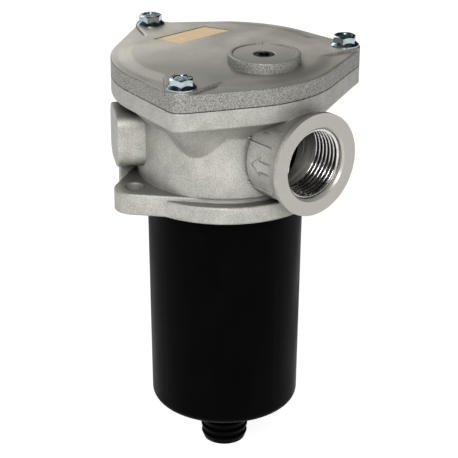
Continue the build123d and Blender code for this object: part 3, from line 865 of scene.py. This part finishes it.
@dataclass
class BowlDetails:
    """Mould marks of the bowl."""

    floor_z: float
    nib_r: float = 1.6 * MM
    nib_h: float = 0.35 * MM
    nib_circle_r: float = 24.0 * MM
    nib_count: int = 4
    nib_edge: float = 0.12 * MM

    def ejector_marks(self, material: bpy.types.Material) -> bpy.types.Object:
        """Build the round ejector marks under the bowl.

        Args:
            material: Material of the bowl.

        Returns:
            The piece with all the marks.
        """
        shape = bmesh.new()
        for number in range(self.nib_count):
            angle = math.tau * (number + 0.5) / self.nib_count
            centre = Vector((math.cos(angle), math.sin(angle), 0.0)) * self.nib_circle_r
            centre.z = self.floor_z
            made = bmesh.ops.create_cone(
                shape,
                cap_ends=True,
                segments=32,
                radius1=self.nib_r,
                radius2=self.nib_r,
                depth=2 * self.nib_h,
                matrix=Matrix.Translation(centre),
            )
            edges = edges_round(made["verts"])
            rims = [edge for edge in edges if abs(edge.verts[0].co.z - edge.verts[1].co.z) < 1e-7]
            bmesh.ops.bevel(
                shape,
                geom=rims,
                offset=self.nib_edge,
                segments=2,
                profile=0.5,
                affect="EDGES",
                material=-1,
            )
        return new_piece("bowl_ejector_marks", shape, material)


# ---- Studio ----------------------------------------------------------------------------------
@dataclass(frozen=True)
class Lamp:
    """A soft square lamp, turned from the camera's azimuth, in degrees, metres and watts."""

    name: str
    turn: float
    elevation: float
    size: float
    power: float


@dataclass
class Studio:
    """Pale floor, pale room, soft lamps and the camera."""

    floor_z: float
    azimuth: float = 49.55
    elevation: float = 22.917
    roll: float = 0.2676
    distance: float = 785.9 * MM
    lens: float = 127.31
    target_right: float = 1.90 * MM
    target_z: float = -10.26 * MM
    shift_y: float = -0.0512
    sensor: float = 36.0
    floor_size: float = 6.0
    floor_gap: float = 0.05 * MM
    floor_grey: float = 0.4
    floor_glow: float = 0.88
    room_low: float = 0.12
    room_high: float = 0.34
    horizon_strength: float = 0.92
    overhead_strength: float = 0.20
    lamp_distance: float = 1.1
    lamp_lift: float = 0.02
    lamps: tuple[Lamp, ...] = (
        Lamp("key_lamp", -4, 32, 0.45, 10.0),
        Lamp("back_lamp", 205, 40, 0.7, 5.0),
    )

    def floor(self) -> None:
        """Lay the floor, white to the camera and in reflections, with the object's soft shadow."""
        shape = bmesh.new()
        place = Matrix.Translation((0.0, 0.0, self.floor_z - self.floor_gap))
        bmesh.ops.create_grid(shape, x_segments=1, y_segments=1, size=self.floor_size, matrix=place)
        mesh = bpy.data.meshes.new("studio_floor")
        shape.to_mesh(mesh)
        shape.free()
        floor = bpy.data.objects.new("studio_floor", mesh)
        bpy.context.scene.collection.objects.link(floor)
        mesh.materials.append(self.paper())
        floor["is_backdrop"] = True

    def paper(self) -> bpy.types.Material:
        """Make matt paper that glows to camera, glossy and transmission rays only.

        Returns:
            The material.
        """
        material = bpy.data.materials.new("studio_paper")
        material.use_nodes = True
        nodes, links = material.node_tree.nodes, material.node_tree.links
        nodes.clear()
        rays = nodes.new("ShaderNodeLightPath")
        seen = nodes.new("ShaderNodeMath")
        seen.operation = "MAXIMUM"
        links.new(rays.outputs["Is Camera Ray"], seen.inputs[0])
        links.new(rays.outputs["Is Glossy Ray"], seen.inputs[1])
        either = nodes.new("ShaderNodeMath")
        either.operation = "MAXIMUM"
        links.new(seen.outputs[0], either.inputs[0])
        links.new(rays.outputs["Is Transmission Ray"], either.inputs[1])
        level = nodes.new("ShaderNodeMath")
        level.operation = "MULTIPLY"
        links.new(either.outputs[0], level.inputs[0])
        level.inputs[1].default_value = self.floor_glow
        matt = nodes.new("ShaderNodeBsdfDiffuse")
        matt.inputs["Color"].default_value = (*[self.floor_grey] * 3, 1.0)
        glow = nodes.new("ShaderNodeEmission")
        links.new(level.outputs[0], glow.inputs["Strength"])
        both = nodes.new("ShaderNodeAddShader")
        links.new(matt.outputs[0], both.inputs[0])
        links.new(glow.outputs[0], both.inputs[1])
        output = nodes.new("ShaderNodeOutputMaterial")
        links.new(both.outputs[0], output.inputs["Surface"])
        return material

    def world(self) -> None:
        """Light the scene with a room that is pale round the horizon and darker overhead."""
        world = bpy.data.worlds.new("studio_room")
        bpy.context.scene.world = world
        world.use_nodes = True
        nodes, links = world.node_tree.nodes, world.node_tree.links
        background = nodes["Background"]
        direction = nodes.new("ShaderNodeTexCoord")
        axes = nodes.new("ShaderNodeSeparateXYZ")
        links.new(direction.outputs["Generated"], axes.inputs[0])
        ramp = nodes.new("ShaderNodeMapRange")
        ramp.interpolation_type = "SMOOTHSTEP"
        ramp.inputs["From Min"].default_value = self.room_low
        ramp.inputs["From Max"].default_value = self.room_high
        ramp.inputs["To Min"].default_value = self.horizon_strength
        ramp.inputs["To Max"].default_value = self.overhead_strength
        links.new(axes.outputs[2], ramp.inputs["Value"])
        links.new(ramp.outputs["Result"], background.inputs["Strength"])

    def add_lamp(self, lamp: Lamp) -> None:
        """Add a lamp that looks at the head.

        Args:
            lamp: Its place, size and power.
        """
        light = bpy.data.lights.new(lamp.name, "AREA")
        light.size = lamp.size
        light.energy = lamp.power
        stand = bpy.data.objects.new(lamp.name, light)
        bpy.context.scene.collection.objects.link(stand)
        back = self.direction(self.azimuth + lamp.turn, lamp.elevation)
        stand.location = back * self.lamp_distance + Vector((0, 0, self.lamp_lift))
        stand.rotation_euler = (-back).to_track_quat("-Z", "Y").to_euler()

    @staticmethod
    def direction(azimuth: float, elevation: float) -> Vector:
        """Direction from the object to a viewer.

        Args:
            azimuth: 0 looks along +Y and 90 along -X, in degrees.
            elevation: Height above the horizon in degrees.

        Returns:
            The unit vector.
        """
        turn, lift = math.radians(azimuth), math.radians(elevation)
        flat = math.cos(lift)
        return Vector((math.sin(turn) * flat, -math.cos(turn) * flat, math.sin(lift)))

    def camera(self) -> None:
        """Set up the camera."""
        data = bpy.data.cameras.new("camera")
        data.lens = self.lens
        data.sensor_width = self.sensor
        data.shift_y = self.shift_y
        camera = bpy.data.objects.new("camera", data)
        bpy.context.scene.collection.objects.link(camera)
        turn = math.radians(self.azimuth)
        right = Vector((math.cos(turn), math.sin(turn), 0.0))
        back = self.direction(self.azimuth, self.elevation)
        target = right * self.target_right + Vector((0.0, 0.0, self.target_z))
        camera.location = target + back * self.distance
        look = (-back).to_track_quat("-Z", "Y").to_matrix().to_4x4()
        spin = Matrix.Rotation(math.radians(self.roll), 4, "Z")
        camera.rotation_euler = (look @ spin).to_euler()
        bpy.context.scene.camera = camera

    def build(self) -> None:
        """Build the floor, the room, the lamps and the camera."""
        self.floor()
        self.world()
        for lamp in self.lamps:
            self.add_lamp(lamp)
        self.camera()


# ---- Build -----------------------------------------------------------------------------------
def build_materials(port: PortPlace, joint_z: float) -> dict[Slot, bpy.types.Material]:
    """Build every material.

    Args:
        port: Place of the inlet.
        joint_z: Height of the joint between head and cover.

    Returns:
        Materials by record slot.
    """
    rubber_light, rubber_dark = (0.03, 0.03, 0.03), (0.02, 0.02, 0.02)
    felt_light, felt_dark = (0.85, 0.82, 0.72), (0.75, 0.71, 0.60)
    nylon_light, nylon_dark = (0.78, 0.76, 0.70), (0.70, 0.68, 0.62)
    finishes = {
        Slot.HEAD: HeadFinish(port, joint_z),
        Slot.COVER: CoverFinish(joint_z),
        Slot.BOWL: MouldingFinish(),
        Slot.SCREW: MetalFinish("zinc_plating", (0.52, 0.61, 0.65), (0.36, 0.44, 0.48), 0.24),
        Slot.DARK_STEEL: MetalFinish(
            "blackened_steel", (0.060, 0.058, 0.055), (0.030, 0.029, 0.028), 0.35
        ),
        Slot.SPRING: MetalFinish("bright_steel", (0.55, 0.55, 0.56), (0.45, 0.45, 0.46), 0.28),
        Slot.LABEL: LabelFinish(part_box("label")[0]),
        Slot.SEAL: SoftFinish("seal_rubber", rubber_light, rubber_dark, 0.6, 1 * MM),
        Slot.MEDIUM: SoftFinish("filter_felt", felt_light, felt_dark, 0.9, 0.6 * MM),
        Slot.TINNED: MetalFinish("tinned_steel", (0.70, 0.70, 0.69), (0.58, 0.58, 0.57), 0.35),
        Slot.VALVE_MOULDING: SoftFinish("nylon", nylon_light, nylon_dark, 0.45, 2 * MM),
        Slot.VALVE_METAL: MetalFinish("turned_metal", (0.75, 0.74, 0.72), (0.62, 0.61, 0.59), 0.22),
    }
    return {slot: finish.build() for slot, finish in finishes.items()}


def dress(frame: dict, materials: dict[Slot, bpy.types.Material]) -> None:
    """Give every CAD node its material.

    Args:
        frame: The loaded frame.
        materials: Materials by record slot.
    """
    slots = {part["node"]: Slot(part["material_slot"]) for part in frame["record"]["subparts"]}
    for name, node in frame["nodes"].items():
        node.data.materials.clear()
        node.data.materials.append(materials[slots[name]])
        LOG.info("node %s: %s", name, slots[name].value)


def main() -> None:
    """Dress the frame, add the small pieces and set up the studio."""
    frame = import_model()
    inlet = next(mount for mount in frame["record"]["mounts"] if mount["name"] == "inlet")
    head_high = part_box("head")[1]
    port = PortPlace(head_high.x, inlet["pos_m"][2], inlet["dims"]["r_mm"] * MM)
    materials = build_materials(port, head_high.z)
    dress(frame, materials)
    details = InletDetails(port)
    details.thread(materials[Slot.VALVE_METAL])
    details.arrow(materials[Slot.HEAD])
    details.flash(materials[Slot.HEAD])
    BowlDetails(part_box("bowl")[0].z).ejector_marks(materials[Slot.BOWL])
    bpy.context.scene.view_settings.view_transform = "Standard"
    Studio(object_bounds()[0].z).build()


if __name__ == "__main__":
    logging.basicConfig(level=logging.INFO, format="%(message)s")
    main()
